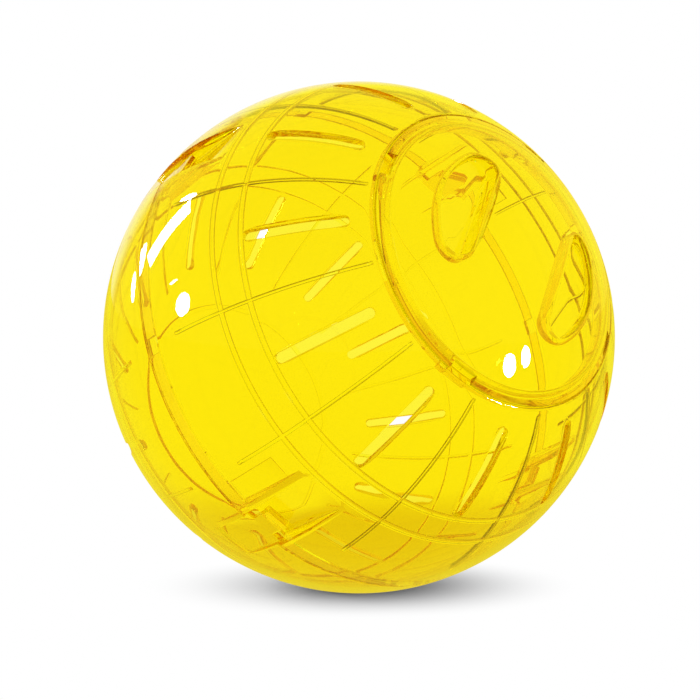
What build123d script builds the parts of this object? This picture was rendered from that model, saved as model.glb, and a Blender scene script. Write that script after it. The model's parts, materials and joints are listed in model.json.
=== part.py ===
from build123d import *
import math
import os

# Ball: outer size, moulded wall, and how far a cut runs past what it cuts
BALL_DIAMETER = 188.0
WALL = 2.2
OVERRUN = 5.0

# Gap between faces of different pieces that slide or turn past each other
CLEARANCE = 0.3

# How the ball lies on the floor, in degrees: the door axis rises from the floor towards -Y,
# and the ball is rolled about that axis
DOOR_RISE = 24.75
BALL_ROLL = 133.1

# Seam: the rear half carries a thin spigot that plugs into the front half
LAP_HEIGHT = 5.2
LAP_LIP = 0.95
SEAM_CHAMFER = 0.35
LAP_BREAK = 6.0

# Snap catches round the seam: a thumb recess in the front half and a spring tab on the rear half,
# which with its bead fills the room between the recess floor and the rear half's flat
CATCH_COUNT = 4
RECESS_HEIGHT = 33.0
RECESS_WIDTH = 17.2
RECESS_WALL = 1.8
FLAT_HEIGHT = 19.5
FLAT_WIDTH = 15.0
FLAT_SIDE = 1.2
TAB_WIDTH = 8.8
TAB_HEIGHT = 8.4
TAB_SHARE = 0.55

# Flat pad inside the front half beside each catch
PAD_LENGTH = 20.5
PAD_WIDTH = 9.8
PAD_RISE = 1.0
PAD_SEAM_DISTANCE = 6.0

# Hoops and ribs on the inside, as footholds: distances run along the outer surface
RING_SEAM_DISTANCE = 34.8
RING_PITCH = 11.1
RING_WIDTH = 1.8
RIB_COUNT = 12
RIB_WIDTH = 1.2
RIB_RISE = 1.0
RING_RISE = 0.8
RIB_SEAM_DISTANCE = 14.1
RIB_DOOR_DISTANCE = 2.9
POLE_RING_RADIUS = 44.5

# Air slots between the ribs
SLOT_WIDTH = 3.5
SLOT_RING_DISTANCE = 1.7
SLOT_DOOR_DISTANCE = 8.2

# Door opening with the ledge that carries the door
OPENING_RADIUS = 53.1
LEDGE_DEPTH = 1.2
LEDGE_WIDTH = 3.0
LEDGE_THICKNESS = 1.6

# Bayonet: lugs on the door turn under the ledge, and drop out through the entry grooves
LUG_COUNT = 4
LUG_ANGLE = 9.5
LUG_REST = 5.1
LUG_THICKNESS = 2.0
LUG_REACH = 2.4
ENTRY_ANGLE = 14.6
ENTRY_CENTRE = 45.1
STOP_ANGLE = 3.0
STOP_GAP_ANGLE = 0.6

# Door: skirt under the dome and two D-shaped finger recesses
SKIRT_WALL = 2.0
GRIP_EDGE = 18.5
GRIP_LENGTH = 43.0
GRIP_SIDE = 7.2
GRIP_BULGE = 7.8
GRIP_DEPTH = 7.5
GRIP_CORNER = 4.2
GRIP_SHOULDER_SHARE = 0.93
GRIP_WALL = 1.8
GRIP_COUNT = 2

# Radii, heights and latitudes worked out from the sizes above
OUTER = BALL_DIAMETER / 2
INNER = OUTER - WALL
SPIGOT_RADIUS = OUTER - LAP_LIP - CLEARANCE
RECESS_FLOOR = math.sqrt(OUTER**2 - RECESS_HEIGHT**2)
FLAT_FACE = math.sqrt(OUTER**2 - FLAT_HEIGHT**2)
TAB_ROOM = FLAT_FACE - RECESS_FLOOR - CLEARANCE
TAB_THICKNESS = TAB_ROOM * TAB_SHARE
TAB_BACK = FLAT_FACE - TAB_THICKNESS
OPENING_HEIGHT = math.sqrt(OUTER**2 - OPENING_RADIUS**2)
LEDGE_HEIGHT = OPENING_HEIGHT - LEDGE_DEPTH
LEDGE_FOOT = LEDGE_HEIGHT - LEDGE_THICKNESS
LEDGE_RADIUS = OPENING_RADIUS - LEDGE_WIDTH
SKIRT_RADIUS = LEDGE_RADIUS - CLEARANCE
LUG_RADIUS = SKIRT_RADIUS + LUG_REACH
LUG_TOP = LEDGE_FOOT - CLEARANCE
FLANGE_RADIUS = OPENING_RADIUS - CLEARANCE
GRIP_FLOOR = math.sqrt(OUTER**2 - GRIP_EDGE**2) - GRIP_DEPTH
GRIP_ARC_RADIUS = ((GRIP_LENGTH / 2) ** 2 + GRIP_BULGE**2) / (2 * GRIP_BULGE)
GRIP_ARC_CENTRE = GRIP_EDGE + GRIP_SIDE + GRIP_BULGE - GRIP_ARC_RADIUS
GRIP_TURN = math.asin(1 - GRIP_BULGE / GRIP_ARC_RADIUS)
GRIP_SHOULDER = GRIP_SHOULDER_SHARE * (GRIP_SIDE - GRIP_CORNER) / math.tan(GRIP_TURN / 2)


def latitude(distance: float) -> float:
    """Degrees above the seam at a distance along the outer surface."""
    return math.degrees(distance / OUTER)


OPENING_LATITUDE = math.degrees(math.acos(OPENING_RADIUS / OUTER))
RING_LATITUDES = [latitude(RING_SEAM_DISTANCE), latitude(RING_SEAM_DISTANCE + RING_PITCH)]
RIB_START = latitude(RIB_SEAM_DISTANCE)
RIB_END = OPENING_LATITUDE - latitude(RIB_DOOR_DISTANCE)
SLOT_START = RING_LATITUDES[-1] + latitude(SLOT_RING_DISTANCE)
SLOT_END = OPENING_LATITUDE - latitude(SLOT_DOOR_DISTANCE)


def polar(radius: float, angle: float) -> Vector:
    """Point of the half plane y = 0 at a distance from the centre and a latitude."""
    return Vector(radius * math.cos(math.radians(angle)), 0, radius * math.sin(math.radians(angle)))


def on_sphere(radius: float, reach: float) -> Vector:
    """Point of the half plane y = 0 on a sphere, above the seam, at a reach from the door axis."""
    return Vector(reach, 0, math.sqrt(radius**2 - reach**2))


def above_seam(radius: float, height: float) -> Vector:
    """Point of the half plane y = 0 on a sphere at a height over the seam plane."""
    return Vector(math.sqrt(radius**2 - height**2), 0, height)


def corner(reach: float, height: float) -> Vector:
    """Corner of a turned outline at a reach from the door axis and a height over the seam."""
    return Vector(reach, 0, height)


def tangent_plane(radius: float, angle: float) -> Plane:
    """Plane that touches a sphere at a latitude of the half plane y = 0, X along the meridian."""
    return Plane(polar(radius, angle), x_dir=polar(1, angle + 90), z_dir=polar(1, angle))


def meridian(start: Vector, end: Vector) -> ThreePointArc:
    """Arc about the ball's centre from one point of the half plane y = 0 to another."""
    middle = (start + end).normalized() * start.length
    return ThreePointArc(start, middle, end)


def outline(*lines) -> Face:
    """Face inside a closed chain of lines and arcs."""
    return Face(Wire([edge for line in lines for edge in line.edges()]))


def turned(*lines) -> Part:
    """Solid of revolution about the door axis."""
    return Part() + revolve(outline(*lines), Axis.Z)


def spread(piece, count: int, first: float = 0) -> list:
    """Copies of a piece, evenly round the door axis from a first longitude."""
    return [Rot(Z=first + 360 * index / count) * piece for index in range(count)]


def block(x_from: float, x_to: float, width: float, z_from: float, z_to: float) -> Part:
    """Box between two planes across X, centred on the plane y = 0."""
    size = Box(x_to - x_from, width, z_to - z_from, align=(Align.MIN, Align.CENTER, Align.MIN))
    return Pos(x_from, 0, z_from) * size


def sector(inner: float, outer: float, start: float, end: float) -> list:
    """Closed outline between two radii and two latitudes."""
    low = [polar(inner, start), polar(outer, start)]
    high = [polar(inner, end), polar(outer, end)]
    ends = [Line(low[0], low[1]), Line(high[1], high[0])]
    return [ends[0], meridian(low[1], high[1]), ends[1], meridian(high[0], low[0])]


def wedge(reach_from: float, reach_to: float, z_from: float, z_to: float, angle: float) -> Part:
    """Piece of a flat ring that spans an angle, centred on the half plane y = 0."""
    low = [corner(reach_from, z_from), corner(reach_to, z_from)]
    high = [corner(reach_to, z_to), corner(reach_from, z_to)]
    ring = revolve(outline(Polyline(*low, *high, close=True)), Axis.Z, angle)
    return Part() + Rot(Z=-angle / 2) * ring


def hoop(angle: float, side: int) -> Part:
    """Thin hoop on the inside of the wall at a latitude."""
    half = latitude(RING_WIDTH) / 2
    return turned(*sector(INNER - RING_RISE, INNER + WALL / 3, side * angle - half, side * angle + half))


def rib(side: int) -> Part:
    """Thin rib on the inside of the wall along the half plane y = 0."""
    span = sorted([side * RIB_START, side * RIB_END])
    face = outline(*sector(INNER - RIB_RISE, INNER + WALL / 2, *span))
    return Part() + extrude(face, amount=RIB_WIDTH / 2, dir=(0, 1, 0), both=True)


def footholds(side: int) -> list:
    """Hoops and ribs of one half: side is 1 towards the door and -1 away from it."""
    half_step = 180 / RIB_COUNT
    return [hoop(angle, side) for angle in RING_LATITUDES] + spread(rib(side), RIB_COUNT, half_step)


def air_slots(side: int) -> list:
    """Cutters of the air slots of one half."""
    middle = (SLOT_START + SLOT_END) / 2
    length = math.radians(SLOT_END - SLOT_START) * OUTER
    place = tangent_plane(OUTER, side * middle)
    cutter = extrude(place * SlotOverall(length, SLOT_WIDTH), amount=WALL + OVERRUN, both=True)
    return spread(cutter, RIB_COUNT)


def pocket(x_from: float, width: float, z_from: float, z_to: float) -> Part:
    """Block from a plane across X outwards, up to the middle of the seam's lip."""
    return block(x_from, OUTER, width, z_from, z_to) & Sphere(OUTER - LAP_LIP / 2)


def recess_body() -> Part:
    """Floor and side walls of one thumb recess of the front half, before it is hollowed."""
    back = RECESS_FLOOR - RECESS_WALL
    return pocket(back, RECESS_WIDTH + 2 * RECESS_WALL, 0, wall_height(back))


def wall_height(back: float) -> float:
    """Height at which a plane across X is well inside the wall."""
    return math.sqrt(INNER**2 - back**2) + WALL / 2


def seam_pad() -> Part:
    """Flat pad inside the front half beside one catch."""
    beside = RECESS_WIDTH / 2 + RECESS_WALL + PAD_WIDTH / 2
    turn = -math.degrees(beside / INNER)
    middle = latitude(PAD_SEAM_DISTANCE + PAD_LENGTH / 2)
    thickness = PAD_RISE + WALL / 2
    place = tangent_plane(INNER - PAD_RISE, middle)
    plate = extrude(place * Rectangle(PAD_LENGTH, PAD_WIDTH), amount=thickness)
    return Part() + Rot(Z=turn) * plate


def front_shell() -> Part:
    """Half with the door opening: ledge, thumb recesses, footholds and air slots."""
    lip = OUTER - LAP_LIP
    shell = turned(
        meridian(above_seam(OUTER, SEAM_CHAMFER), on_sphere(OUTER, OPENING_RADIUS)),
        Polyline(
            on_sphere(OUTER, OPENING_RADIUS),
            corner(OPENING_RADIUS, LEDGE_HEIGHT),
            corner(LEDGE_RADIUS, LEDGE_HEIGHT),
            corner(LEDGE_RADIUS, LEDGE_FOOT),
            above_seam(INNER, LEDGE_FOOT),
        ),
        meridian(above_seam(INNER, LEDGE_FOOT), above_seam(INNER, LAP_HEIGHT)),
        Polyline(
            above_seam(INNER, LAP_HEIGHT),
            corner(lip, LAP_HEIGHT),
            corner(lip, 0),
            corner(OUTER - SEAM_CHAMFER, 0),
            above_seam(OUTER, SEAM_CHAMFER),
        ),
    )
    shell += footholds(1) + spread(recess_body(), CATCH_COUNT) + spread(seam_pad(), CATCH_COUNT)
    hollow = block(RECESS_FLOOR, OUTER + OVERRUN, RECESS_WIDTH, -OVERRUN, RECESS_HEIGHT + OVERRUN)
    shell -= spread(hollow, CATCH_COUNT) + air_slots(1)
    reach = [LEDGE_RADIUS - CLEARANCE, LUG_RADIUS + CLEARANCE]
    entry = wedge(*reach, LEDGE_FOOT - OVERRUN, LEDGE_HEIGHT, ENTRY_ANGLE)
    shell -= spread(entry, LUG_COUNT, ENTRY_CENTRE)
    return shell + spread(lug_stop(), LUG_COUNT, LUG_REST)


def lug_stop() -> Part:
    """Stop under the ledge that ends the door's turn, beside a lug that is centred on y = 0."""
    reach = [LEDGE_RADIUS + CLEARANCE, OPENING_RADIUS - CLEARANCE]
    stop = wedge(*reach, LEDGE_FOOT - LUG_THICKNESS, LEDGE_HEIGHT - LEDGE_THICKNESS / 2, STOP_ANGLE)
    return Part() + Rot(Z=-(LUG_ANGLE + STOP_ANGLE) / 2 - STOP_GAP_ANGLE) * stop


def spring_tab() -> Part:
    """Tab of the rear half that stands in a thumb recess, with a bead along its tip."""
    tab = block(TAB_BACK, FLAT_FACE, TAB_WIDTH, -TAB_THICKNESS, TAB_HEIGHT)
    bead_radius = TAB_ROOM - TAB_THICKNESS
    bead = Pos(TAB_BACK, 0, TAB_HEIGHT - bead_radius) * Rot(X=90) * Cylinder(bead_radius, TAB_WIDTH)
    return tab + (bead & block(RECESS_FLOOR, FLAT_FACE, TAB_WIDTH, 0, TAB_HEIGHT))


def rear_shell() -> Part:
    """Closed half: spigot round the seam, spring tabs, footholds and air slots."""
    spigot_top = LAP_HEIGHT - CLEARANCE
    pole = Vector(0, 0, -OUTER)
    inner_pole = Vector(0, 0, -INNER)
    shell = turned(
        meridian(pole, above_seam(OUTER, -SEAM_CHAMFER)),
        Polyline(
            above_seam(OUTER, -SEAM_CHAMFER),
            corner(OUTER - SEAM_CHAMFER, 0),
            corner(SPIGOT_RADIUS, 0),
            corner(SPIGOT_RADIUS, spigot_top),
            above_seam(INNER, spigot_top),
        ),
        meridian(above_seam(INNER, spigot_top), inner_pole),
        Line(inner_pole, pole),
    )
    gap_width = RECESS_WIDTH + 2 * RECESS_WALL + 2 * CLEARANCE
    shell -= spread(block(RECESS_FLOOR - WALL, OUTER, gap_width, 0, LAP_HEIGHT), CATCH_COUNT)
    half_step = 180 / CATCH_COUNT
    shell -= spread(block(RECESS_FLOOR, OUTER, LAP_BREAK, 0, LAP_HEIGHT), CATCH_COUNT, half_step)
    backing = pocket(TAB_BACK, FLAT_WIDTH + 2 * FLAT_SIDE, -wall_height(TAB_BACK), 0)
    pole_ring = math.degrees(math.acos(POLE_RING_RADIUS / OUTER))
    shell += footholds(-1) + [hoop(pole_ring, -1)] + spread(backing, CATCH_COUNT)
    flat = block(FLAT_FACE, OUTER + OVERRUN, FLAT_WIDTH, -FLAT_HEIGHT - OVERRUN, OVERRUN)
    shell -= spread(flat, CATCH_COUNT) + air_slots(-1)
    return shell + spread(spring_tab(), CATCH_COUNT)


def grip_outline(margin: float) -> Sketch:
    """D-shaped outline round one finger recess, straight side towards the door's middle."""
    arc_radius = GRIP_ARC_RADIUS + margin
    length = GRIP_LENGTH + 2 * margin
    band = Pos(GRIP_EDGE - margin, 0) * Rectangle(arc_radius, length, align=(Align.MIN, Align.CENTER))
    shape = Pos(GRIP_ARC_CENTRE, 0) * Circle(arc_radius) & band
    shape = fillet(shape.vertices().group_by(Axis.X)[1], GRIP_SHOULDER + margin)
    return fillet(shape.vertices().group_by(Axis.X)[0], GRIP_CORNER + margin)


def door() -> Part:
    """Domed round door with its flange, skirt, bayonet lugs and finger recesses."""
    rim = on_sphere(OUTER, FLANGE_RADIUS)
    seat = LEDGE_HEIGHT + CLEARANCE
    skirt_inside = SKIRT_RADIUS - SKIRT_WALL
    foot = LUG_TOP - LUG_THICKNESS
    crown = Vector(0, 0, OUTER)
    inner_crown = Vector(0, 0, INNER)
    cap = turned(
        meridian(crown, rim),
        Polyline(
            rim,
            corner(FLANGE_RADIUS, seat),
            corner(SKIRT_RADIUS, seat),
            corner(SKIRT_RADIUS, foot),
            corner(skirt_inside, foot),
            on_sphere(INNER, skirt_inside),
        ),
        meridian(on_sphere(INNER, skirt_inside), inner_crown),
        Line(inner_crown, crown),
    )
    lug = wedge(SKIRT_RADIUS - SKIRT_WALL / 2, LUG_RADIUS, foot, LUG_TOP, LUG_ANGLE)
    notch = wedge(LEDGE_RADIUS, OPENING_RADIUS, LEDGE_HEIGHT, OUTER, LUG_ANGLE + 2 * STOP_GAP_ANGLE)
    cap = cap - spread(notch, LUG_COUNT, LUG_REST) + spread(lug, LUG_COUNT, LUG_REST)
    cup_height = OUTER - GRIP_FLOOR + GRIP_WALL
    cup = Pos(0, 0, GRIP_FLOOR - GRIP_WALL) * extrude(grip_outline(GRIP_WALL), amount=cup_height)
    cup = cup & Sphere(OUTER - WALL / 2)
    hollow = Pos(0, 0, GRIP_FLOOR) * extrude(grip_outline(0), amount=cup_height)
    return cap + spread(cup, GRIP_COUNT, LUG_REST) - spread(hollow, GRIP_COUNT, LUG_REST)


def at_rest(piece: Part) -> Part:
    """Turn a piece from the door axis up to the way the ball lies on the floor."""
    return Rot(X=90 - DOOR_RISE) * Rot(Z=BALL_ROLL) * piece


os.makedirs("parts", exist_ok=True)
PIECES = {"front_shell": front_shell, "rear_shell": rear_shell, "door": door}
for name, make in PIECES.items():
    piece = at_rest(make())
    piece.label = name
    export_step(piece, f"parts/{name}.step")
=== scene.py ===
"""Looks of a clear yellow exercise ball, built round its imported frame.

The ball is modelled in millimetres about its own door axis, which is Z there, and each
finished piece is then turned and scaled into the frame, where it stands for its node.
"""

import json
import logging
import math
from collections.abc import Sequence
from dataclasses import dataclass
from enum import Enum
from itertools import product

import bpy
from mathutils import Matrix, Vector


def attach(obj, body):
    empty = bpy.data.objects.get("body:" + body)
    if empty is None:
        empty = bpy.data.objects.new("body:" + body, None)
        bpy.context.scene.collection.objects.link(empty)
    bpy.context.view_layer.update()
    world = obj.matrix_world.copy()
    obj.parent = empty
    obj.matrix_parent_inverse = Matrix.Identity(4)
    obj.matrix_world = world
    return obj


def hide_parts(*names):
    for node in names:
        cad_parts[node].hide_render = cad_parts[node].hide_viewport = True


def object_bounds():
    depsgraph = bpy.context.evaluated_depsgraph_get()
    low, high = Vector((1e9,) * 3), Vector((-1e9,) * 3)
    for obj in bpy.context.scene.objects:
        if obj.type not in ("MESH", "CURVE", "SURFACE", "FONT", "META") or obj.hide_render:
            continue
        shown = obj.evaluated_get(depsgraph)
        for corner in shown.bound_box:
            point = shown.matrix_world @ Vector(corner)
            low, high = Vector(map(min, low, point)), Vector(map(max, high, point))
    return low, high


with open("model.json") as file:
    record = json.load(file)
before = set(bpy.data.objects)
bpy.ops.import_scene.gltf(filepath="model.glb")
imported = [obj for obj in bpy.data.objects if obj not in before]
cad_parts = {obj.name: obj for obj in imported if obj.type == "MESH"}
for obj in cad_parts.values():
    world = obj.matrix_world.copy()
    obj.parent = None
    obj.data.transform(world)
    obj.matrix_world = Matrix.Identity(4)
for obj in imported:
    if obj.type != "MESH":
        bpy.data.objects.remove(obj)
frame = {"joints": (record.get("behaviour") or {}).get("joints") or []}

CAD_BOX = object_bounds()
MILLIMETRES = 1000.0
QUARTER_TURN = 90.0
HALF_TURN = 180.0
FULL_TURN = 360.0
ROUNDING_PARTS = 4
MATRIX_SIZE = 4
ELLIPSE_SHARE = math.pi / 4.0
log = logging.getLogger("ball")

Piece = bpy.types.Object
Point = tuple[float, float, float]
Reach = tuple[float, float]
Corner = tuple[float, float, float]
Colour = tuple[float, float, float, float]


class Cut(Enum):
    """Ways in which one solid changes another."""

    ADD = "UNION"
    TAKE = "DIFFERENCE"
    KEEP = "INTERSECT"


class Half(Enum):
    """The two halves of the ball, by the side of the seam they are on."""

    FRONT = 1
    REAR = -1


class Softbox(Enum):
    """Shapes of the lamps."""

    ROUND = "ELLIPSE"
    STRIP = "RECTANGLE"


def polar(radius: float, latitude: float) -> Reach:
    """Reach from the door axis and height over the seam, at a latitude in degrees."""
    angle = math.radians(latitude)
    return radius * math.cos(angle), radius * math.sin(angle)


def spaced(start: float, end: float, step: float) -> list[float]:
    """Evenly spaced values from start to end.

    Args:
        start: First value.
        end: Last value.
        step: Widest gap between two values.

    Returns:
        The values, with both ends.
    """
    count = max(1, math.ceil(abs(end - start) / step))
    return [start + (end - start) * index / count for index in range(count + 1)]


def rounded(outline: Sequence[Corner]) -> list[Reach]:
    """Round the corners of a closed outline.

    Args:
        outline: Corners as reach, height and rounding radius, which may be zero.

    Returns:
        The outline with an arc at each corner that has a radius.
    """
    made: list[Reach] = []
    for index, (reach, height, radius) in enumerate(outline):
        corner = Vector((reach, height))
        if radius <= 0.0:
            made.append((reach, height))
            continue
        before = (Vector(outline[index - 1][:2]) - corner).normalized()
        after = (Vector(outline[(index + 1) % len(outline)][:2]) - corner).normalized()
        half = before.angle(after) / 2.0
        centre = corner + (before + after).normalized() * radius / math.sin(half)
        start = corner + before * radius / math.tan(half) - centre
        end = corner + after * radius / math.tan(half) - centre
        turn = start.angle_signed(end)
        for part in range(ROUNDING_PARTS + 1):
            angle = -turn * part / ROUNDING_PARTS
            made.append(tuple(centre + Matrix.Rotation(angle, 2) @ start))
    return made


class Bench:
    """Hand tools, each a short run of modelling operators on the picked pieces."""

    merge_distance = 1e-4
    spin_steps = 360
    wedge_step = 1.0
    sphere_subdivisions = 6
    smooth_angle = 28.0

    @staticmethod
    def pick(*pieces: Piece) -> None:
        """Select these pieces alone.

        Args:
            pieces: Pieces to select, the first as the active one.
        """
        bpy.ops.object.select_all(action="DESELECT")
        for piece in pieces:
            piece.select_set(True)
        bpy.context.view_layer.objects.active = pieces[0]

    @classmethod
    def close(cls, piece: Piece, capped: bool) -> Piece:
        """Merge a mesh's doubles, cap its open ends and turn its faces outwards.

        Args:
            piece: Mesh to close.
            capped: Whether open ends are filled.

        Returns:
            The same piece.
        """
        cls.pick(piece)
        bpy.ops.object.mode_set(mode="EDIT")
        bpy.ops.mesh.select_all(action="SELECT")
        bpy.ops.mesh.remove_doubles(threshold=cls.merge_distance)
        bpy.ops.mesh.delete_loose(use_verts=True, use_edges=True, use_faces=False)
        if capped:
            bpy.ops.mesh.select_all(action="SELECT")
            bpy.ops.mesh.fill_holes(sides=0)
        bpy.ops.mesh.select_all(action="SELECT")
        bpy.ops.mesh.normals_make_consistent(inside=False)
        bpy.ops.object.mode_set(mode="OBJECT")
        return piece

    @classmethod
    def turned(cls, name: str, outline: Sequence[Reach]) -> Piece:
        """Spin a closed outline about the door axis.

        Args:
            name: Name of the new piece.
            outline: Corners as reach and height.

        Returns:
            The closed solid of revolution.
        """
        bpy.ops.mesh.primitive_circle_add(vertices=len(outline))
        piece = bpy.context.object
        piece.name = name
        for vertex, (reach, height) in zip(piece.data.vertices, outline):
            vertex.co = (reach, 0.0, height)
        bpy.ops.object.mode_set(mode="EDIT")
        bpy.ops.mesh.select_all(action="SELECT")
        bpy.ops.mesh.spin(steps=cls.spin_steps, angle=math.tau, center=(0, 0, 0), axis=(0, 0, 1))
        bpy.ops.object.mode_set(mode="OBJECT")
        return cls.close(piece, capped=False)

    @classmethod
    def lofted(cls, name: str, rings: Sequence[Sequence[Point]]) -> Piece:
        """Roll a grid into a tube through rings of points and cap its ends.

        Args:
            name: Name of the new piece.
            rings: Rings with the same number of points.

        Returns:
            The closed solid through the rings.
        """
        count = len(rings[0])
        bpy.ops.mesh.primitive_grid_add(x_subdivisions=count, y_subdivisions=len(rings) - 1)
        piece = bpy.context.object
        piece.name = name
        places = [ring[index % count] for ring in rings for index in range(count + 1)]
        for vertex, place in zip(piece.data.vertices, places):
            vertex.co = place
        return cls.close(piece, capped=True)

    @classmethod
    def block(cls, name: str, low: Point, high: Point, bevel: float = 0.0) -> Piece:
        """Cube stretched between two corners, with its edges rounded.

        Args:
            name: Name of the new piece.
            low: Lowest corner.
            high: Highest corner.
            bevel: Rounding of the edges, none if zero.

        Returns:
            The block.
        """
        middle = (Vector(low) + Vector(high)) / 2.0
        bpy.ops.mesh.primitive_cube_add(size=1.0, location=middle, scale=Vector(high) - Vector(low))
        piece = bpy.context.object
        piece.name = name
        bpy.ops.object.transform_apply(location=True, rotation=True, scale=True)
        if bevel > 0.0:
            bpy.ops.object.mode_set(mode="EDIT")
            bpy.ops.mesh.select_all(action="SELECT")
            bpy.ops.mesh.bevel(offset=bevel, segments=ROUNDING_PARTS, affect="EDGES")
            bpy.ops.object.mode_set(mode="OBJECT")
        return piece

    @classmethod
    def wedge(cls, name: str, reach: Reach, height: Reach, angle: float) -> Piece:
        """Piece of a flat ring about longitude zero.

        Args:
            name: Name of the new piece.
            reach: Inner and outer radius.
            height: Lower and upper height.
            angle: Degrees that it spans.

        Returns:
            The closed piece.
        """
        turns = [math.radians(turn) for turn in spaced(-angle / 2.0, angle / 2.0, cls.wedge_step)]
        rings = []
        for level in height:
            outer = [(reach[1] * math.cos(turn), reach[1] * math.sin(turn), level) for turn in turns]
            inner = [(reach[0] * math.cos(turn), reach[0] * math.sin(turn), level) for turn in turns]
            rings.append(outer + inner[::-1])
        return cls.lofted(name, rings)

    @classmethod
    def within(cls, piece: Piece, radius: float) -> Piece:
        """Trim a piece to a sphere about the ball's centre."""
        bpy.ops.mesh.primitive_ico_sphere_add(subdivisions=cls.sphere_subdivisions, radius=radius)
        return cls.change(piece, bpy.context.object, Cut.KEEP)

    @classmethod
    def ring_of(cls, piece: Piece, count: int, first: float = 0.0) -> Piece:
        """Copy a piece evenly round the door axis and join the copies.

        Args:
            piece: Piece at longitude zero, used up.
            count: Number of copies.
            first: Longitude of the first copy, in degrees.

        Returns:
            All copies as one mesh.
        """
        copies = [piece]
        for _ in range(count - 1):
            cls.pick(piece)
            bpy.ops.object.duplicate(linked=False)
            copies.append(bpy.context.object)
        for index, copy in enumerate(copies):
            copy.rotation_euler.z = math.radians(first + FULL_TURN * index / count)
        cls.pick(*copies)
        bpy.ops.object.transform_apply(location=True, rotation=True, scale=True)
        bpy.ops.object.join()
        return bpy.context.object

    @classmethod
    def change(cls, piece: Piece, tool: Piece, cut: Cut) -> Piece:
        """Change a piece by a solid, and remove the solid.

        Args:
            piece: Piece to change.
            tool: Solid that is used up.
            cut: How it changes the piece.

        Returns:
            The same piece.
        """
        cls.pick(piece)
        modifier = piece.modifiers.new(tool.name, "BOOLEAN")
        modifier.operation = cut.value
        modifier.solver = "MANIFOLD"
        modifier.object = tool
        bpy.ops.object.modifier_apply(modifier=modifier.name)
        cls.pick(tool)
        bpy.ops.object.delete()
        return piece

    @classmethod
    def settle(cls, piece: Piece, lie: Matrix) -> None:
        """Turn and scale a finished piece into the frame, and smooth its round faces.

        Args:
            piece: Piece in millimetres about the door axis.
            lie: Matrix into the frame.
        """
        cls.pick(piece)
        piece.matrix_world = lie
        bpy.ops.object.transform_apply(location=True, rotation=True, scale=True)
        bpy.ops.object.shade_smooth_by_angle(angle=math.radians(cls.smooth_angle))


@dataclass(frozen=True)
class Ball:
    """Sizes that the pieces share, in millimetres, and how the ball lies on the floor."""

    radius: float = min(abs(side) for corner in CAD_BOX for side in corner) * MILLIMETRES
    wall: float = 2.2
    clearance: float = 0.3
    overrun: float = 5.0
    step: float = 1.0
    roll: float = 133.1
    lap_height: float = 5.2
    lap_lip: float = 0.95
    seam_chamfer: float = 0.35
    catch_count: int = 4
    recess_height: float = 33.0
    recess_width: float = 17.2
    recess_wall: float = 1.8
    opening_radius: float = 53.1
    ledge_depth: float = 1.2
    ledge_width: float = 3.0
    ledge_thickness: float = 1.6
    lug_count: int = 4
    lug_angle: float = 9.5
    lug_rest: float = 5.1
    lug_thickness: float = 2.0
    lug_reach: float = 2.4

    @property
    def axis(self) -> Vector:
        """Direction of the door axis in the frame."""
        return Vector(frame["joints"][0]["axis"])

    @property
    def inner(self) -> float:
        """Radius of the inside of the wall."""
        return self.radius - self.wall

    @property
    def outside(self) -> float:
        """Distance from the centre that is well outside the ball."""
        return self.radius + self.overrun

    @property
    def recess_floor(self) -> float:
        """Distance of a thumb recess's flat floor from the door axis."""
        return math.sqrt(self.radius**2 - self.recess_height**2)

    @property
    def ledge(self) -> float:
        """Height of the ledge that the door's flange rests over."""
        return math.sqrt(self.radius**2 - self.opening_radius**2) - self.ledge_depth

    @property
    def ledge_foot(self) -> float:
        """Height of the ledge's lower face."""
        return self.ledge - self.ledge_thickness

    @property
    def bore(self) -> float:
        """Radius of the hole inside the ledge."""
        return self.opening_radius - self.ledge_width

    @property
    def lug_radius(self) -> float:
        """Reach of the door's lugs from the door axis."""
        return self.bore - self.clearance + self.lug_reach

    def height(self, radius: float, reach: float) -> float:
        """Height on a sphere about the centre at a reach from the door axis."""
        return math.sqrt(radius**2 - reach**2)

    def latitude(self, distance: float) -> float:
        """Degrees of latitude for a distance along the outer surface."""
        return math.degrees(distance / self.radius)

    def on_wall(self, latitude: float, across: float, depth: float) -> Point:
        """Point in the wall near longitude zero.

        Args:
            latitude: Degrees over the seam.
            across: Distance from the plane y = 0 along the outer surface.
            depth: Distance below the outer surface.

        Returns:
            The point about the door axis.
        """
        side = across / self.radius
        reach, height = polar((self.radius - depth) * math.cos(side), latitude)
        return reach, (self.radius - depth) * math.sin(side), height

    def arc(self, radius: float, start: float, end: float) -> list[Corner]:
        """Corners without rounding along a meridian, from a latitude to another."""
        return [(*polar(radius, angle), 0.0) for angle in spaced(start, end, self.step)]

    def lie(self) -> Matrix:
        """Turn and scale the ball as it lies on the floor.

        Returns:
            Matrix from the ball's own millimetres to the frame.
        """
        tilt = Matrix.Rotation(math.acos(self.axis.z), MATRIX_SIZE, "X")
        roll = Matrix.Rotation(math.radians(self.roll), MATRIX_SIZE, "Z")
        return Matrix.Scale(1.0 / MILLIMETRES, MATRIX_SIZE) @ tilt @ roll


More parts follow.
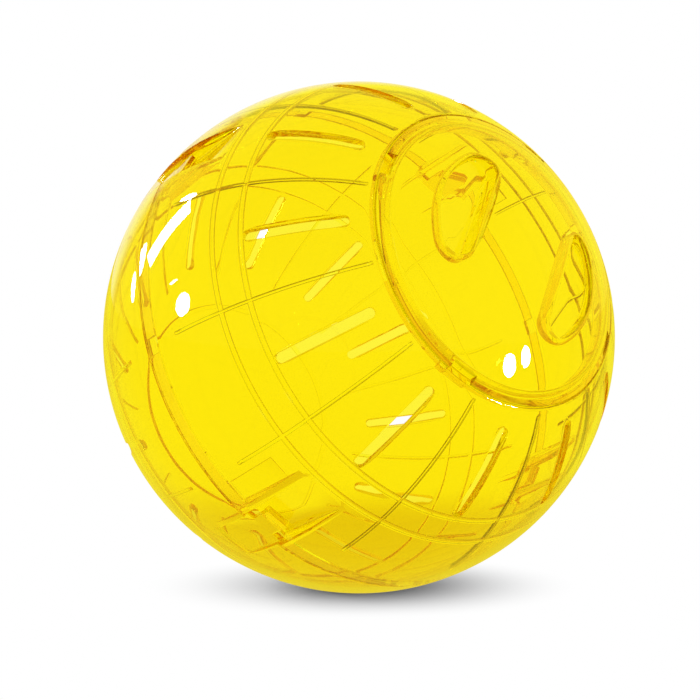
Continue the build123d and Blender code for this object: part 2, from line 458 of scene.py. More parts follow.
@dataclass(frozen=True)
class Footholds:
    """Hoops, ribs and air slots, alike on both halves."""

    ball: Ball
    hoop_distances: tuple[float, float] = (34.8, 45.9)
    hoop_width: float = 1.8
    hoop_rise: float = 0.8
    hoop_rounding: float = 0.4
    rib_count: int = 12
    rib_width: float = 1.2
    rib_rise: float = 1.0
    rib_seam_distance: float = 14.1
    rib_door_distance: float = 2.9
    rib_runout: float = 1.4
    rib_end_share: float = 0.25
    rib_shoulder_share: float = 1.0 / 3.0
    slot_width: float = 3.5
    slot_hoop_distance: float = 1.7
    slot_door_distance: float = 8.2
    slot_rounding: float = 0.35
    slot_flare: tuple[Reach, ...] = ((-1.0, 1.7), (0.0, 0.7), (0.3, 0.3), (1.0, 0.0))
    end_parts: int = 12

    @property
    def opening(self) -> float:
        """Latitude of the door opening's edge."""
        return math.degrees(math.acos(self.ball.opening_radius / self.ball.radius))

    @property
    def hoops(self) -> list[float]:
        """Latitudes of the two hoops of a half, over the seam."""
        return [self.ball.latitude(distance) for distance in self.hoop_distances]

    def inside(self, start: float, end: float, hoops: Sequence[float]) -> list[Corner]:
        """Inner face of the wall down a meridian, with the hoops that stand on it.

        Args:
            start: Latitude where the face starts.
            end: Lower latitude where it ends.
            hoops: Latitudes of the hoops, the highest first.

        Returns:
            Corners as reach, height and rounding.
        """
        ball = self.ball
        soft = self.hoop_rounding
        half = ball.latitude(self.hoop_width) / 2.0
        beside = ball.latitude(soft)
        crest = ball.inner - self.hoop_rise
        section = ((ball.inner, half), (crest, half), (crest, -half), (ball.inner, -half))
        corners: list[Corner] = []
        here = start
        for middle in hoops:
            corners += ball.arc(ball.inner, here, middle + half + beside)
            corners += [(*polar(radius, middle + side), soft) for radius, side in section]
            here = middle - half - beside
        return corners + ball.arc(ball.inner, here, end)

    def rib(self, half: Half) -> Piece:
        """Rib along longitude zero, low at its ends.

        Args:
            half: Half that it stands in.

        Returns:
            The rib.
        """
        ball = self.ball
        start = ball.latitude(self.rib_seam_distance)
        end = self.opening - ball.latitude(self.rib_door_distance)
        runout = ball.latitude(self.rib_runout)
        side = self.rib_width / 2.0
        rings = []
        for angle in [start, *spaced(start + runout, end - runout, ball.step), end]:
            low = angle in (start, end)
            rise = self.rib_rise * self.rib_end_share if low else self.rib_rise
            deep = ball.wall + rise
            shoulder = deep - rise * self.rib_shoulder_share
            section = [(side, ball.wall / 2.0), (side, shoulder), (side / 2.0, deep)]
            section += [(-across, depth) for across, depth in section[::-1]]
            rings.append([ball.on_wall(half.value * angle, across, depth) for across, depth in section])
        return Bench.lofted("rib", rings)

    def slot(self, half: Half) -> Piece:
        """Air slot at longitude zero, wider where it rounds into each face of the wall.

        Args:
            half: Half that it opens.

        Returns:
            The cutter.
        """
        ball = self.ball
        start = self.hoops[-1] + ball.latitude(self.slot_hoop_distance)
        end = self.opening - ball.latitude(self.slot_door_distance)
        reach = math.radians(end - start) * ball.radius / 2.0 - self.slot_width / 2.0
        soft = self.slot_rounding
        flare = [(soft * depth, soft * margin) for depth, margin in self.slot_flare]
        levels = [(-ball.overrun, flare[0][1]), *flare]
        levels += [(ball.wall - depth, margin) for depth, margin in flare[::-1]]
        rings = []
        for depth, margin in levels:
            ring = []
            for sign, part in product((1.0, -1.0), range(self.end_parts + 1)):
                angle = sign * QUARTER_TURN - HALF_TURN * part / self.end_parts
                along, across = polar(self.slot_width / 2.0 + margin, angle)
                place = (start + end) / 2.0 + ball.latitude(sign * reach + along)
                ring.append(ball.on_wall(half.value * place, across, depth))
            rings.append(ring)
        return Bench.lofted("air_slot", rings)

    def add_to(self, piece: Piece, half: Half) -> None:
        """Give a half its ribs, and cut its air slots between them.

        Args:
            piece: The half's piece.
            half: Which half it is.
        """
        ribs = Bench.ring_of(self.rib(half), self.rib_count, HALF_TURN / self.rib_count)
        Bench.change(piece, ribs, Cut.ADD)
        Bench.change(piece, Bench.ring_of(self.slot(half), self.rib_count), Cut.TAKE)


@dataclass(frozen=True)
class FrontShell:
    """Half with the door opening: ledge, thumb recesses, pads, footholds and slots."""

    ball: Ball
    footholds: Footholds
    rim_rounding: float = 0.45
    entry_angle: float = 14.6
    entry_centre: float = 45.1
    stop_angle: float = 3.0
    stop_gap: float = 0.6
    recess_rounding: float = 1.0
    pad_length: float = 20.5
    pad_width: float = 9.8
    pad_rise: float = 1.0
    pad_seam_distance: float = 6.0
    pad_bevel_share: float = 1.0 / 3.0

    def outline(self) -> list[Reach]:
        """Section of the half on one side of the door axis.

        Returns:
            Corners as reach and height.
        """
        ball = self.ball
        foot = math.degrees(math.asin(ball.ledge_foot / ball.inner))
        lap = math.degrees(math.asin(ball.lap_height / ball.inner))
        seam = math.degrees(math.asin(ball.seam_chamfer / ball.radius))
        lip = ball.radius - ball.lap_lip
        soft = self.rim_rounding
        opening = self.footholds.opening
        corners = ball.arc(ball.radius, seam, opening - ball.step)
        corners += [
            (*polar(ball.radius, opening), soft),
            (ball.opening_radius, ball.ledge, soft / 2.0),
            (ball.bore, ball.ledge, soft),
            (ball.bore, ball.ledge_foot, soft),
            (*polar(ball.inner, foot), soft),
        ]
        corners += self.footholds.inside(foot - ball.step, lap, self.footholds.hoops[::-1])
        corners += [(lip, ball.lap_height, 0.0), (lip, 0.0, 0.0)]
        return rounded(corners + [(ball.radius - ball.seam_chamfer, 0.0, 0.0)])

    def recess(self) -> Piece:
        """Floor and side walls of the thumb recess at longitude zero.

        Returns:
            The body, before it is hollowed.
        """
        ball = self.ball
        back = ball.recess_floor - ball.recess_wall
        side = ball.recess_width / 2.0 + ball.recess_wall
        top = ball.height(ball.inner, back) + ball.wall / 2.0
        body = Bench.block("recess", (back, -side, 0.0), (ball.radius, side, top))
        return Bench.within(body, ball.radius - ball.lap_lip / 2.0)

    def hollow(self) -> Piece:
        """Hollow of the thumb recess at longitude zero.

        Returns:
            The cutter.
        """
        ball = self.ball
        side = ball.recess_width / 2.0
        low = (ball.recess_floor, -side, -ball.overrun)
        high = (ball.outside, side, ball.recess_height + ball.overrun)
        return Bench.block("hollow", low, high, self.recess_rounding)

    def pad(self) -> Piece:
        """Flat pad inside the wall beside the catch at longitude zero.

        Returns:
            The pad.
        """
        ball = self.ball
        beside = (ball.recess_width + self.pad_width) / 2.0 + ball.recess_wall
        middle = ball.latitude(self.pad_seam_distance + self.pad_length / 2.0)
        size = Vector((self.pad_length, self.pad_width)) / 2.0
        soft = self.pad_rise * self.pad_bevel_share
        rings = []
        for rise, margin in ((0.0, -soft), (soft, 0.0), (self.pad_rise + ball.wall / 2.0, 0.0)):
            reach, height = polar(ball.inner - self.pad_rise + rise, middle)
            slope = polar(1.0, middle + QUARTER_TURN)
            ring = []
            for along, across in ((1, 1), (1, -1), (-1, -1), (-1, 1)):
                run = along * (size.x + margin)
                ring.append((reach + slope[0] * run, across * (size.y + margin), height + slope[1] * run))
            rings.append(ring)
        piece = Bench.lofted("pad", rings)
        return Bench.ring_of(piece, 1, -math.degrees(beside / ball.inner))

    def build(self) -> Piece:
        """Model the half about the door axis.

        Returns:
            The finished piece, in millimetres.
        """
        ball = self.ball
        piece = Bench.turned("clear_front_shell", self.outline())
        for body in (self.recess(), self.pad()):
            Bench.change(piece, Bench.ring_of(body, ball.catch_count), Cut.ADD)
        self.footholds.add_to(piece, Half.FRONT)
        Bench.change(piece, Bench.ring_of(self.hollow(), ball.catch_count), Cut.TAKE)
        gap = ball.clearance
        reach = (ball.bore - gap, ball.lug_radius + gap)
        height = (ball.ledge_foot - ball.overrun, ball.ledge + gap)
        entry = Bench.wedge("entry", reach, height, self.entry_angle)
        Bench.change(piece, Bench.ring_of(entry, ball.lug_count, self.entry_centre), Cut.TAKE)
        reach = (ball.bore + gap, ball.opening_radius - gap)
        height = (ball.ledge_foot - ball.lug_thickness, ball.ledge - ball.ledge_thickness / 2.0)
        stop = Bench.wedge("stop", reach, height, self.stop_angle)
        turn = ball.lug_rest - (ball.lug_angle + self.stop_angle) / 2.0 - self.stop_gap
        Bench.change(piece, Bench.ring_of(stop, ball.lug_count, turn), Cut.ADD)
        return piece


@dataclass(frozen=True)
class RearShell:
    """Closed half: spigot round the seam, spring tabs, footholds and slots."""

    ball: Ball
    footholds: Footholds
    pole_hoop_radius: float = 44.5
    flat_height: float = 19.5
    flat_width: float = 15.0
    flat_side: float = 1.2
    flat_rounding: float = 0.6
    tab_width: float = 8.8
    tab_height: float = 8.4
    tab_share: float = 0.55
    tab_rounding: float = 0.3
    bead_step: float = 15.0
    lap_break: float = 6.0
    sink: float = 0.02

    @property
    def flat_face(self) -> float:
        """Distance of the flats below the catches from the door axis."""
        return math.sqrt(self.ball.radius**2 - self.flat_height**2)

    @property
    def tab_back(self) -> float:
        """Distance of the tabs' inner face from the door axis."""
        room = self.flat_face - self.ball.recess_floor - self.ball.clearance
        return self.flat_face - room * self.tab_share

    def outline(self) -> list[Reach]:
        """Section of the half on one side of the door axis.

        Returns:
            Corners as reach and height.
        """
        ball = self.ball
        top = ball.lap_height - ball.clearance
        spigot = ball.radius - ball.lap_lip - ball.clearance
        seam = math.degrees(math.asin(ball.seam_chamfer / ball.radius))
        start = math.degrees(math.asin(top / ball.inner))
        pole = math.degrees(math.acos(self.pole_hoop_radius / ball.radius))
        hoops = [-angle for angle in [*self.footholds.hoops, pole]]
        corners = ball.arc(ball.radius, -QUARTER_TURN, -seam)
        corners += [(ball.radius - ball.seam_chamfer, 0.0, 0.0), (spigot, 0.0, 0.0), (spigot, top, 0.0)]
        return rounded(corners + self.footholds.inside(start, -QUARTER_TURN, hoops))

    def backing(self) -> Piece:
        """Thicker wall behind the flat at longitude zero.

        Returns:
            The body, before the flat is cut.
        """
        ball = self.ball
        side = self.flat_width / 2.0 + self.flat_side
        foot = -ball.height(ball.inner, self.tab_back) - ball.wall / 2.0
        body = Bench.block("backing", (self.tab_back, -side, foot), (ball.radius, side, -self.sink))
        return Bench.within(body, ball.radius - ball.lap_lip / 2.0)

    def tab(self) -> Piece:
        """Spring tab at longitude zero, with a bead along its tip.

        Returns:
            The tab.
        """
        front = self.flat_face - self.sink
        back = self.tab_back + self.sink
        bead = back - self.ball.recess_floor - self.ball.clearance
        soft = self.tab_rounding
        foot = -(front - back)
        corners = [(front, foot, 0.0), (front, self.tab_height, soft), (back, self.tab_height, 0.0)]
        for angle in spaced(QUARTER_TURN, QUARTER_TURN + HALF_TURN, self.bead_step):
            along, up = polar(bead, angle)
            corners.append((back + along, self.tab_height - bead - soft + up, 0.0))
        section = rounded(corners + [(back, foot, 0.0)])
        half = self.tab_width / 2.0
        rings = [[(x, across, z) for x, z in section] for across in (-half, half)]
        return Bench.lofted("tab", rings)

    def build(self) -> Piece:
        """Model the half about the door axis.

        Returns:
            The finished piece, in millimetres.
        """
        ball = self.ball
        piece = Bench.turned("clear_rear_shell", self.outline())
        side = ball.recess_width / 2.0 + ball.recess_wall + ball.clearance
        low = ball.recess_floor - ball.overrun
        gap = Bench.block("gap", (low, -side, 0.0), (ball.outside, side, ball.lap_height))
        Bench.change(piece, Bench.ring_of(gap, ball.catch_count), Cut.TAKE)
        side = self.lap_break / 2.0
        gap = Bench.block("break", (low, -side, 0.0), (ball.outside, side, ball.lap_height))
        Bench.change(piece, Bench.ring_of(gap, ball.catch_count, HALF_TURN / ball.catch_count), Cut.TAKE)
        Bench.change(piece, Bench.ring_of(self.backing(), ball.catch_count), Cut.ADD)
        self.footholds.add_to(piece, Half.REAR)
        side = self.flat_width / 2.0
        corner = (self.flat_face, -side, -self.flat_height - ball.overrun)
        flat = Bench.block("flat", corner, (ball.outside, side, ball.overrun), self.flat_rounding)
        Bench.change(piece, Bench.ring_of(flat, ball.catch_count), Cut.TAKE)
        Bench.change(piece, Bench.ring_of(self.tab(), ball.catch_count), Cut.ADD)
        return piece


@dataclass(frozen=True)
class Door:
    """Domed twist-off door: flange, skirt, bayonet lugs and two finger recesses."""

    ball: Ball
    skirt_wall: float = 2.0
    rim_rounding: float = 0.45
    notch_gap: float = 0.6
    grip_count: int = 2
    grip_edge: float = 18.5
    grip_length: float = 43.0
    grip_side: float = 7.2
    grip_bulge: float = 7.8
    grip_depth: float = 7.5
    grip_corner: float = 4.2
    grip_shoulder_share: float = 0.93
    grip_wall: float = 1.8
    grip_rounding: float = 0.6
    grip_draft: float = 0.4
    grip_step: float = 7.5
    grip_arc_step: float = 2.5
    fillet_step: float = 22.5

    @property
    def foot(self) -> float:
        """Height of the skirt's lower edge."""
        return self.ball.ledge_foot - self.ball.clearance - self.ball.lug_thickness

    def outline(self) -> list[Reach]:
        """Section of the door on one side of its axis.

        Returns:
            Corners as reach and height.
        """
        ball = self.ball
        soft = self.rim_rounding
        flange = ball.opening_radius - ball.clearance
        skirt = ball.bore - ball.clearance
        inside = skirt - self.skirt_wall
        under = ball.ledge + ball.clearance
        rim = math.degrees(math.acos(flange / ball.radius))
        foot_top = math.degrees(math.acos(inside / ball.inner))
        corners = ball.arc(ball.radius, QUARTER_TURN, rim + ball.step)
        corners += [
            (*polar(ball.radius, rim), soft),
            (flange, under, soft / 2.0),
            (skirt, under, soft / 2.0),
            (skirt, self.foot, soft),
            (inside, self.foot, soft),
            (*polar(ball.inner, foot_top), 2.0 * soft),
        ]
        return rounded(corners + ball.arc(ball.inner, foot_top + 2.0 * ball.step, QUARTER_TURN))

    def grip_ring(self, margin: float, height: float | None = None, depth: float = 0.0) -> list[Point]:
        """D-shaped ring round a finger recess that lies towards longitude zero.

        Args:
            margin: Distance outside the recess's own outline.
            height: Height of a flat ring, none for one that follows the dome.
            depth: Depth of such a ring below the dome's outer face.

        Returns:
            Points of the ring.
        """
        half = self.grip_length / 2.0
        arc = (half**2 + self.grip_bulge**2) / (2.0 * self.grip_bulge)
        middle = self.grip_edge + self.grip_side + self.grip_bulge - arc
        turn = math.asin(1.0 - self.grip_bulge / arc)
        shoulder = self.grip_shoulder_share * (self.grip_side - self.grip_corner) / math.tan(turn / 2.0)
        across = half - shoulder
        along = middle + math.sqrt((arc - shoulder) ** 2 - across**2)
        lean = math.degrees(math.atan2(across, along - middle))
        corner = (self.grip_edge + self.grip_corner, half - self.grip_corner)
        bends = [
            (corner, self.grip_corner, HALF_TURN, QUARTER_TURN),
            ((along, across), shoulder, QUARTER_TURN, lean),
            ((middle, 0.0), arc, lean, -lean),
            ((along, -across), shoulder, -lean, -QUARTER_TURN),
            ((corner[0], -corner[1]), self.grip_corner, -QUARTER_TURN, -HALF_TURN),
        ]
        ring = []
        for centre, radius, start, end in bends:
            step = self.grip_step if radius < arc else self.grip_arc_step
            for angle in spaced(start, end, step):
                x, y = polar(radius + margin, angle)
                place = (centre[0] + x, centre[1] + y)
                dome = self.ball.height(self.ball.radius, math.hypot(*place)) - depth
                ring.append((*place, dome if height is None else height))
        return ring

    def grip_foot(self, wall: float) -> list[list[Point]]:
        """Rings round the rounded foot of a finger recess.

        Args:
            wall: Thickness round the hollow, none for the hollow itself.

        Returns:
            Rings from the bottom up.
        """
        floor = self.ball.height(self.ball.radius, self.grip_edge) - self.grip_depth
        soft = self.grip_rounding + wall / 2.0
        rings = []
        for angle in spaced(QUARTER_TURN, 0.0, self.fillet_step):
            out, down = polar(soft, angle)
            rings.append(self.grip_ring(wall - soft + out, floor - wall + soft - down))
        return rings

    def grip_cup(self) -> Piece:
        """Wall and floor of a finger recess, up to the middle of the dome's wall.

        Returns:
            The body, before it is hollowed.
        """
        top = self.grip_ring(self.grip_wall + self.grip_draft, self.ball.outside)
        rings = [*self.grip_foot(self.grip_wall), top]
        return Bench.within(Bench.lofted("cup", rings), self.ball.radius - self.ball.wall / 2.0)

    def grip_hollow(self) -> Piece:
        """Hollow of a finger recess, which rounds into the dome.

        Returns:
            The cutter.
        """
        soft = self.grip_rounding
        brim = self.grip_draft + 2.0 * soft
        rings = self.grip_foot(0.0)
        for angle in spaced(0.0, QUARTER_TURN, self.fillet_step):
            out, up = polar(soft, angle)
            rings.append(self.grip_ring(self.grip_draft + soft - out, depth=soft - up))
        rings.append(self.grip_ring(brim, depth=-soft))
        rings.append(self.grip_ring(brim, self.ball.outside))
        return Bench.lofted("hollow", rings)

    def build(self) -> Piece:
        """Model the door about its axis.

        Returns:
            The finished piece, in millimetres.
        """
        ball = self.ball
        piece = Bench.turned("clear_door", self.outline())
        reach = (ball.bore, ball.opening_radius)
        angle = ball.lug_angle + 2.0 * self.notch_gap
        notch = Bench.wedge("notch", reach, (ball.ledge, ball.radius), angle)
        Bench.change(piece, Bench.ring_of(notch, ball.lug_count, ball.lug_rest), Cut.TAKE)
        reach = (ball.bore - ball.clearance - self.skirt_wall / 2.0, ball.lug_radius)
        lug = Bench.wedge("lug", reach, (self.foot, self.foot + ball.lug_thickness), ball.lug_angle)
        Bench.change(piece, Bench.ring_of(lug, ball.lug_count, ball.lug_rest), Cut.ADD)
        for tool, cut in ((self.grip_cup(), Cut.ADD), (self.grip_hollow(), Cut.TAKE)):
            Bench.change(piece, Bench.ring_of(tool, self.grip_count, ball.lug_rest), cut)
        return piece


@dataclass(frozen=True)
class Signal:
    """One output of a node, on which arithmetic adds further nodes."""

    nodes: "Nodes"
    socket: bpy.types.NodeSocket | None

    def math(self, operation: str, first: "Level", second: "Level") -> "Signal":
        """Math node between two levels."""
        return self.nodes.make("ShaderNodeMath", {"operation": operation}, {0: first, 1: second})

    def __add__(self, other: "Level") -> "Signal":
        """Sum of two levels."""
        return self.math("ADD", self, other)

    def __sub__(self, other: "Level") -> "Signal":
        """Difference of two levels."""
        return self.math("SUBTRACT", self, other)

    def __mul__(self, other: "Level") -> "Signal":
        """Product of two levels."""
        return self.math("MULTIPLY", self, other)

    __radd__ = __add__
    __rmul__ = __mul__

    def __rsub__(self, other: "Level") -> "Signal":
        """Difference of a plain level and this one."""
        return self.math("SUBTRACT", other, self)

    def __abs__(self) -> "Signal":
        """Level without its sign."""
        return self.math("ABSOLUTE", self, 0.0)

    def root(self) -> "Signal":
        """Square root of a level."""
        return self.math("SQRT", self, 0.0)

    def part(self, axis: str) -> "Signal":
        """One coordinate of a vector."""
        return self.nodes.make("ShaderNodeSeparateXYZ", sockets={0: self}, output=axis)

    def length(self) -> "Signal":
        """Length of a vector."""
        return self.nodes.make("ShaderNodeVectorMath", {"operation": "LENGTH"}, {0: self}, "Value")

    def dot(self, other: "Signal | Vector") -> "Signal":
        """Dot product of two vectors."""
        settings = {"operation": "DOT_PRODUCT"}
        return self.nodes.make("ShaderNodeVectorMath", settings, {0: self, 1: other}, "Value")

    def fade(self, low: float, high: float) -> "Signal":
        """Smooth rise from nought at one level to one at another."""
        sockets = {"Value": self, "From Min": low, "From Max": high}
        return self.nodes.make("ShaderNodeMapRange", {"interpolation_type": "SMOOTHSTEP"}, sockets)


Level = Signal | float


class Nodes:
    """Node tree of a material or of the world, emptied and built up again."""

    colour_inputs = (6, 7)
    colour_output = 2

    def __init__(self, owner: bpy.types.Material | bpy.types.World) -> None:
        """Take over a node tree.

        Args:
            owner: Material or world that it belongs to.
        """
        owner.use_nodes = True
        self.tree = owner.node_tree
        self.tree.nodes.clear()

    def make(
        self,
        kind: str,
        settings: dict[str, object] | None = None,
        sockets: dict[str | int, object] | None = None,
        output: str | int = 0,
    ) -> Signal:
        """Add a node.

        Args:
            kind: Blender's name for the type of node.
            settings: Properties of the node.
            sockets: Signals to link, or plain values to set, by input.
            output: Output that is handed back.

        Returns:
            The signal of that output.
        """
        node = self.tree.nodes.new(kind)
        for name, value in (settings or {}).items():
            setattr(node, name, value)
        for key, value in (sockets or {}).items():
            if isinstance(value, Signal):
                self.tree.links.new(value.socket, node.inputs[key])
            else:
                node.inputs[key].default_value = value
        return Signal(self, node.outputs[output] if len(node.outputs) else None)

    def mix(self, share: Level, first: Colour | Signal, second: Colour | Signal) -> Signal:
        """Blend of two colours."""
        sockets = {"Factor": share, **dict(zip(self.colour_inputs, (first, second)))}
        return self.make("ShaderNodeMix", {"data_type": "RGBA"}, sockets, self.colour_output)


@dataclass(frozen=True)
class ClearPlastic:
    """Clear polystyrene, dyed yellow, with faint flow marks and scuffs, and with painted shade: a deeper
    yellow on steep faces and dark lines on ridges, the seam lap and the door rim.
    """

    ball: Ball
    name: str = "clear_yellow_plastic"
    tint: Colour = (1.0, 0.905, 0.2, 1.0)
    painted_edge_shade: Colour = (0.98, 0.87, 0.1, 1.0)
    painted_ridge_shade: Colour = (0.2, 0.11, 0.0, 1.0)
    edge_turn: Reach = (0.25, 0.85)
    ridge_turn: Reach = (0.04, 0.35)
    ridge_low: Reach = (0.1, 0.4)
    ridge_high: Reach = (1.1, 1.5)
    rear_ridges: float = 0.2
    hoop_share: float = 0.35
    hoop_lean: Reach = (0.3, 0.8)
    catch_side: Reach = (12.0, 15.0)
    catch_top: Reach = (32.0, 33.0)
    rim_side: Reach = (53.4, 54.0)
    seam: Reach = (-1.0, 1.0)
    lap_low: Reach = (-1.2, -0.6)
    lap_high: Reach = (5.4, 6.0)
    lap_share: float = 0.4
    rim_height: Reach = (74.0, 76.0)
    rim_depth: Reach = (-1.4, -0.9)
    rim_share: float = 0.55
    index: float = 1.49
    roughness: float = 0.012
    scuffing: float = 0.05
    scuff_scale: float = 210.0
    scuff_detail: float = 6.0
    scuff_distortion: float = 1.2
    scuff_fade: Reach = (0.58, 0.75)
    flow_scale: float = 38.0
    flow_height: float = 0.00004
    dye: Colour = (0.9988, 0.994, 0.0, 1.0)
    dye_density: float = 700.0

    def uncaught(self, x: Signal, y: Signal, z: Signal) -> Signal:
        """Nought at the catches and one away from them, for a place about the door axis."""
        beside = x.math("MINIMUM", abs(x), abs(y)).fade(*self.catch_side)
        return beside.math("MAXIMUM", beside, abs(z).fade(*self.catch_top))

    def ridge_shade_share(self, x: Signal, y: Signal, front: Signal) -> Signal:
        """Share of the painted dark shade on the ridges: full at the front half's, less at the rear, none at
        the door.
        """
        apart = (x * x + y * y).root()
        return front * apart.fade(*self.rim_side) + (1.0 - front) * self.rear_ridges

    def make(self) -> bpy.types.Material:
        """Build the material.

        Returns:
            The material.
        """
        material = bpy.data.materials.new(self.name)
        nodes = Nodes(material)
        place = nodes.make("ShaderNodeTexCoord", output="Object")
        normal = nodes.make("ShaderNodeTexCoord", output="Normal")
        outward = nodes.make("ShaderNodeVectorMath", {"operation": "NORMALIZE"}, {0: place})
        turned = 1.0 - abs(outward.dot(normal))
        # Painted shade: faces that turn away from the outward direction get a deeper yellow base colour.
        edge = turned.fade(*self.edge_turn)
        steep = turned.fade(*self.ridge_turn)
        lie = {"Rotation": self.ball.lie().to_euler(), "Scale": Vector((1.0, 1.0, 1.0)) / MILLIMETRES}
        own = nodes.make("ShaderNodeMapping", {"vector_type": "TEXTURE"}, {"Vector": place, **lie})
        rise = self.ball.inner - own.length()
        lean = normal.dot(self.ball.axis)
        x, y, height = (own.part(axis) for axis in "XYZ")
        free = self.uncaught(x, y, height)
        # Painted shade: dark lines on the steep sides of ribs and hoops, kept off the catches and fainter on
        # the hoops.
        painted_dark_lines = steep * self.ridge_shade_share(x, y, height.fade(*self.seam)) * free
        painted_dark_lines *= rise.fade(*self.ridge_low) * (1.0 - rise.fade(*self.ridge_high))
        painted_dark_lines *= 1.0 - (1.0 - self.hoop_share) * abs(lean).fade(*self.hoop_lean)
        # Painted shade in the gap of the seam lap and round the door rim, added to the dark lines.
        lap = edge * height.fade(*self.lap_low) * (1.0 - height.fade(*self.lap_high))
        lap *= free * self.lap_share
        rim = steep * height.fade(*self.rim_height) * (1.0 - rise.fade(*self.rim_depth)) * self.rim_share
        painted_dark_lines += lap + rim
        flow = nodes.make("ShaderNodeTexNoise", sockets={"Vector": place, "Scale": self.flow_scale})
        scuffs = nodes.make(
            "ShaderNodeTexNoise",
            sockets={
                "Vector": place,
                "Scale": self.scuff_scale,
                "Detail": self.scuff_detail,
                "Distortion": self.scuff_distortion,
            },
        )
        bump = nodes.make(
            "ShaderNodeBump", sockets={"Height": flow, "Strength": 1.0, "Distance": self.flow_height}
        )
        # Base colour: the plastic's yellow, with the painted deeper yellow of steep faces and then the
        # painted dark lines.
        colour = nodes.mix(edge, self.tint, self.painted_edge_shade)
        surface = nodes.make(
            "ShaderNodeBsdfPrincipled",
            sockets={
                "Base Color": nodes.mix(painted_dark_lines, colour, self.painted_ridge_shade),
                "Roughness": self.roughness + self.scuffing * scuffs.fade(*self.scuff_fade),
                "IOR": self.index,
                "Transmission Weight": 1.0,
                "Normal": bump,
            },
        )
        volume = nodes.make(
            "ShaderNodeVolumeAbsorption", sockets={"Color": self.dye, "Density": self.dye_density}
        )
        nodes.make("ShaderNodeOutputMaterial", sockets={"Surface": surface, "Volume": volume})
        return material


@dataclass(frozen=True)
class Lamp:
    """Softbox that faces the ball, placed by where its two ends lie in the camera's view.

    The ends are given right of the ball's centre, above it and towards the camera, in metres.
    """

    name: str
    shape: Softbox
    low: Point
    high: Point
    width: float
    radiance: float

    def place(self, view: Matrix) -> None:
        """Add the lamp.

        Args:
            view: Rotation of the camera.
        """
        low = view @ Vector(self.low)
        high = view @ Vector(self.high)
        middle = (low + high) / 2.0
        length = (high - low).length
        back = middle.normalized()
        side = (high - low).cross(back).normalized()
        bpy.ops.object.light_add(type="AREA", location=middle)
        lamp = bpy.context.object
        lamp.name = self.name
        lamp.rotation_euler = Matrix((side, back.cross(side), back)).transposed().to_euler()
        lamp.visible_camera = False
        lamp.visible_transmission = False
        lamp.data.shape = self.shape.value
        lamp.data.size = self.width
        lamp.data.size_y = length
        area = self.width * length
        if self.shape is Softbox.ROUND:
            area *= ELLIPSE_SHARE
        lamp.data.energy = self.radiance * math.pi * area


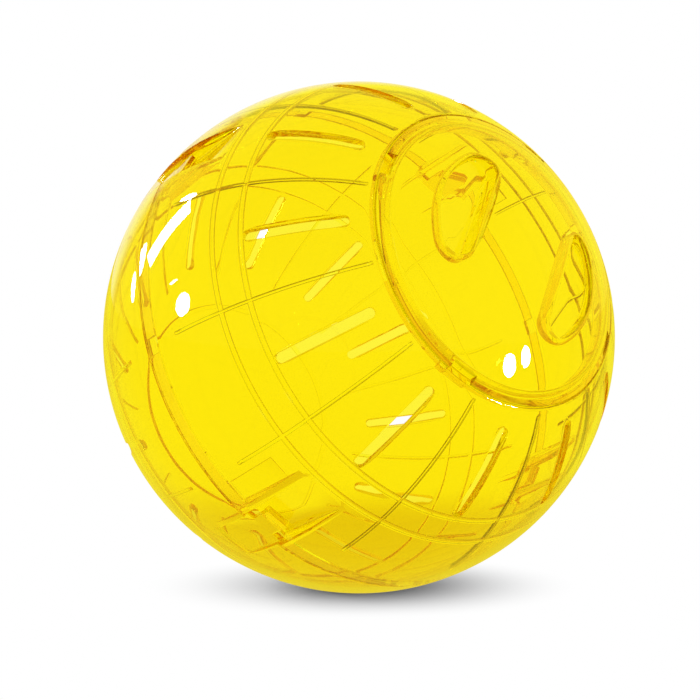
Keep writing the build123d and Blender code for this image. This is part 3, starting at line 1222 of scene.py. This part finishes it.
@dataclass(frozen=True)
class Studio:
    """Pale floor and surround, softboxes that the ball mirrors, and the camera."""

    ball: Ball
    azimuth: float = -42.1
    elevation: float = 6.0
    distance: float = 6.3
    lens: float = 81.9
    shift: tuple[float, float] = (-0.0128, -0.0181)
    floor_size: float = 60.0
    floor_colour: Colour = (0.9, 0.9, 0.9, 1.0)
    white: Colour = (1.0, 1.0, 1.0, 1.0)
    shade_fade: Reach = (0.012, 0.084)
    shade_flatness: float = 1.8
    mirror_colour: Colour = (1.0, 0.88, 0.1, 1.0)
    mirror_floor: Colour = (0.85, 0.72, 0.06, 1.0)
    mirror_side: Point = (-0.25, 0.17, -0.953)
    mirror_pale: Colour = (1.0, 0.95, 0.7, 1.0)
    mirror_fade: Reach = (0.9, 0.985)
    painted_warm_shade_under_ball: Colour = (0.8, 0.68, 0.3, 1.0)
    under_fade: Reach = (0.09, 0.18)
    ceiling: Colour = (0.95, 0.86, 0.4, 1.0)
    ceiling_fade: Reach = (0.45, 0.8)
    transmission_bounces: int = 64
    glossy_bounces: int = 96
    max_bounces: int = 128
    lamps: tuple[Lamp, ...] = (
        Lamp("round_softbox", Softbox.ROUND, (-1.229, 0.145, 0.215), (-1.229, 0.315, 0.215), 0.17, 60.0),
        Lamp("strip_softbox", Softbox.STRIP, (-1.145, 0.41, -0.455), (-0.998, 0.778, -0.289), 0.15, 30.0),
        Lamp("short_softbox", Softbox.ROUND, (-1.14, 0.313, -0.529), (-1.026, 0.453, -0.639), 0.1, 30.0),
        Lamp("low_softbox", Softbox.ROUND, (-1.158, 0.181, -0.55), (-1.073, 0.312, -0.647), 0.07, 30.0),
        Lamp("upper_softbox", Softbox.ROUND, (-0.956, 0.731, -0.485), (-0.945, 0.832, -0.33), 0.045, 30.0),
        Lamp("small_softbox", Softbox.ROUND, (-1.263, 0.352, -0.019), (-1.249, 0.402, 0.069), 0.023, 30.0),
        Lamp("near_side_softbox", Softbox.ROUND, (0.348, -0.094, 0.192), (0.352, -0.037, 0.206), 0.043, 60.0),
        Lamp("far_side_softbox", Softbox.ROUND, (0.371, -0.068, 0.148), (0.374, -0.019, 0.157), 0.032, 60.0),
    )

    @property
    def back(self) -> Vector:
        """Where the camera stands.

        Returns:
            Direction from the ball to the camera.
        """
        turn = math.radians(self.azimuth)
        rise = math.radians(self.elevation)
        flat = math.cos(rise)
        return Vector((math.sin(turn) * flat, -math.cos(turn) * flat, math.sin(rise)))

    def camera(self) -> Matrix:
        """Add the camera at the photograph's viewing angle.

        Returns:
            Its rotation.
        """
        away = self.distance * self.ball.radius / MILLIMETRES
        bpy.ops.object.camera_add(location=self.back * away)
        camera = bpy.context.object
        view = self.back.to_track_quat("Z", "Y")
        camera.rotation_euler = view.to_euler()
        camera.data.lens = self.lens
        camera.data.shift_x, camera.data.shift_y = self.shift
        bpy.context.scene.camera = camera
        return view.to_matrix()

    def surround(self, view: Matrix) -> None:
        """White world under a darker ceiling, mirrored warm apart from its pale far side.

        Args:
            view: Rotation of the camera.
        """
        world = bpy.data.worlds.new("surround")
        bpy.context.scene.world = world
        nodes = Nodes(world)
        aim = nodes.make("ShaderNodeTexCoord", output="Generated")
        toward = aim.dot(view @ Vector(self.mirror_side))
        through = nodes.make("ShaderNodeLightPath", output="Is Transmission Ray")
        overhead = through * aim.part("Z").fade(*self.ceiling_fade)
        seen = nodes.mix(overhead, self.white, self.ceiling)
        reflected = nodes.mix(toward.fade(*self.mirror_fade), self.mirror_colour, self.mirror_pale)
        colour = nodes.mix(self.mirrored(nodes), seen, reflected)
        glow = nodes.make("ShaderNodeBackground", sockets={"Color": colour})
        nodes.make("ShaderNodeOutputWorld", sockets={"Surface": glow})

    @staticmethod
    def mirrored(nodes: Nodes) -> Signal:
        """One for what is seen mirrored, nought for what is seen straight or through plastic."""
        glossy = nodes.make("ShaderNodeLightPath", output="Is Glossy Ray")
        return glossy * (1.0 - nodes.make("ShaderNodeLightPath", output="Is Transmission Ray"))

    def floor(self) -> None:
        """Wide pale floor: round the place where the ball rests, a matt patch takes the ball's real shadow,
        which a painted elliptical mask fades into white; seen through the plastic, a painted warm shade lies
        under the ball, and mirrored rays see the floor a painted yellow.
        """
        bpy.ops.mesh.primitive_plane_add(size=self.floor_size, location=(0.0, 0.0, CAD_BOX[0].z))
        plane = bpy.context.object
        plane.name = "floor"
        material = bpy.data.materials.new("pale_floor")
        nodes = Nodes(material)
        place = nodes.make("ShaderNodeTexCoord", output="Object")
        turn = (0.0, 0.0, math.radians(self.azimuth))
        scale = (1.0, 1.0 / self.shade_flatness, 1.0)
        lie = {"Vector": place, "Rotation": turn, "Scale": scale}
        flat = nodes.make("ShaderNodeMapping", {"vector_type": "TEXTURE"}, lie)
        # Partly real, partly painted: the matt floor takes the ball's real shadow, and this mask, flattened
        # across the view, fades it into white emission.
        bright = flat.length().fade(*self.shade_fade)
        matt = nodes.make("ShaderNodeBsdfDiffuse", sockets={"Color": self.floor_colour})
        # Painted shade under the ball, warm and seen only through the plastic, standing for its shadow lit
        # yellow through it.
        through = nodes.make("ShaderNodeLightPath", output="Is Transmission Ray")
        under = through * (1.0 - place.length().fade(*self.under_fade))
        seen = nodes.mix(under, self.white, self.painted_warm_shade_under_ball)
        # Painted reflection: mirrored rays see the floor yellow and darker.
        colour = nodes.mix(self.mirrored(nodes), seen, self.mirror_floor)
        glow = nodes.make("ShaderNodeEmission", sockets={"Color": colour})
        direct = nodes.make("ShaderNodeLightPath", output="Is Camera Ray")
        share = 1.0 - direct * (1.0 - bright)
        surface = nodes.make("ShaderNodeMixShader", sockets={0: share, 1: matt, 2: glow})
        nodes.make("ShaderNodeOutputMaterial", sockets={"Surface": surface})
        plane.data.materials.append(material)

    def build(self) -> None:
        """Set the whole studio."""
        scene = bpy.context.scene
        scene.view_settings.view_transform = "Standard"
        scene.cycles.caustics_refractive = False
        scene.cycles.caustics_reflective = False
        scene.cycles.transmission_bounces = self.transmission_bounces
        scene.cycles.glossy_bounces = self.glossy_bounces
        scene.cycles.max_bounces = self.max_bounces
        view = self.camera()
        self.surround(view)
        self.floor()
        for lamp in self.lamps:
            lamp.place(view)


def main() -> None:
    """Build the pieces, dress them and set the studio."""
    logging.basicConfig(level=logging.INFO, format="%(message)s")
    ball = Ball()
    footholds = Footholds(ball)
    plastic = ClearPlastic(ball).make()
    makers = {
        "front_shell": ("front_half", FrontShell(ball, footholds)),
        "rear_shell": ("rear_half", RearShell(ball, footholds)),
        "door": ("door", Door(ball)),
    }
    for node, (body, maker) in makers.items():
        piece = maker.build()
        Bench.settle(piece, ball.lie())
        piece.data.materials.clear()
        piece.data.materials.append(plastic)
        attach(piece, body)
        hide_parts(node)
        log.info("%s: %d faces", piece.name, len(piece.data.polygons))
    Studio(ball).build()


if __name__ == "__main__":
    main()
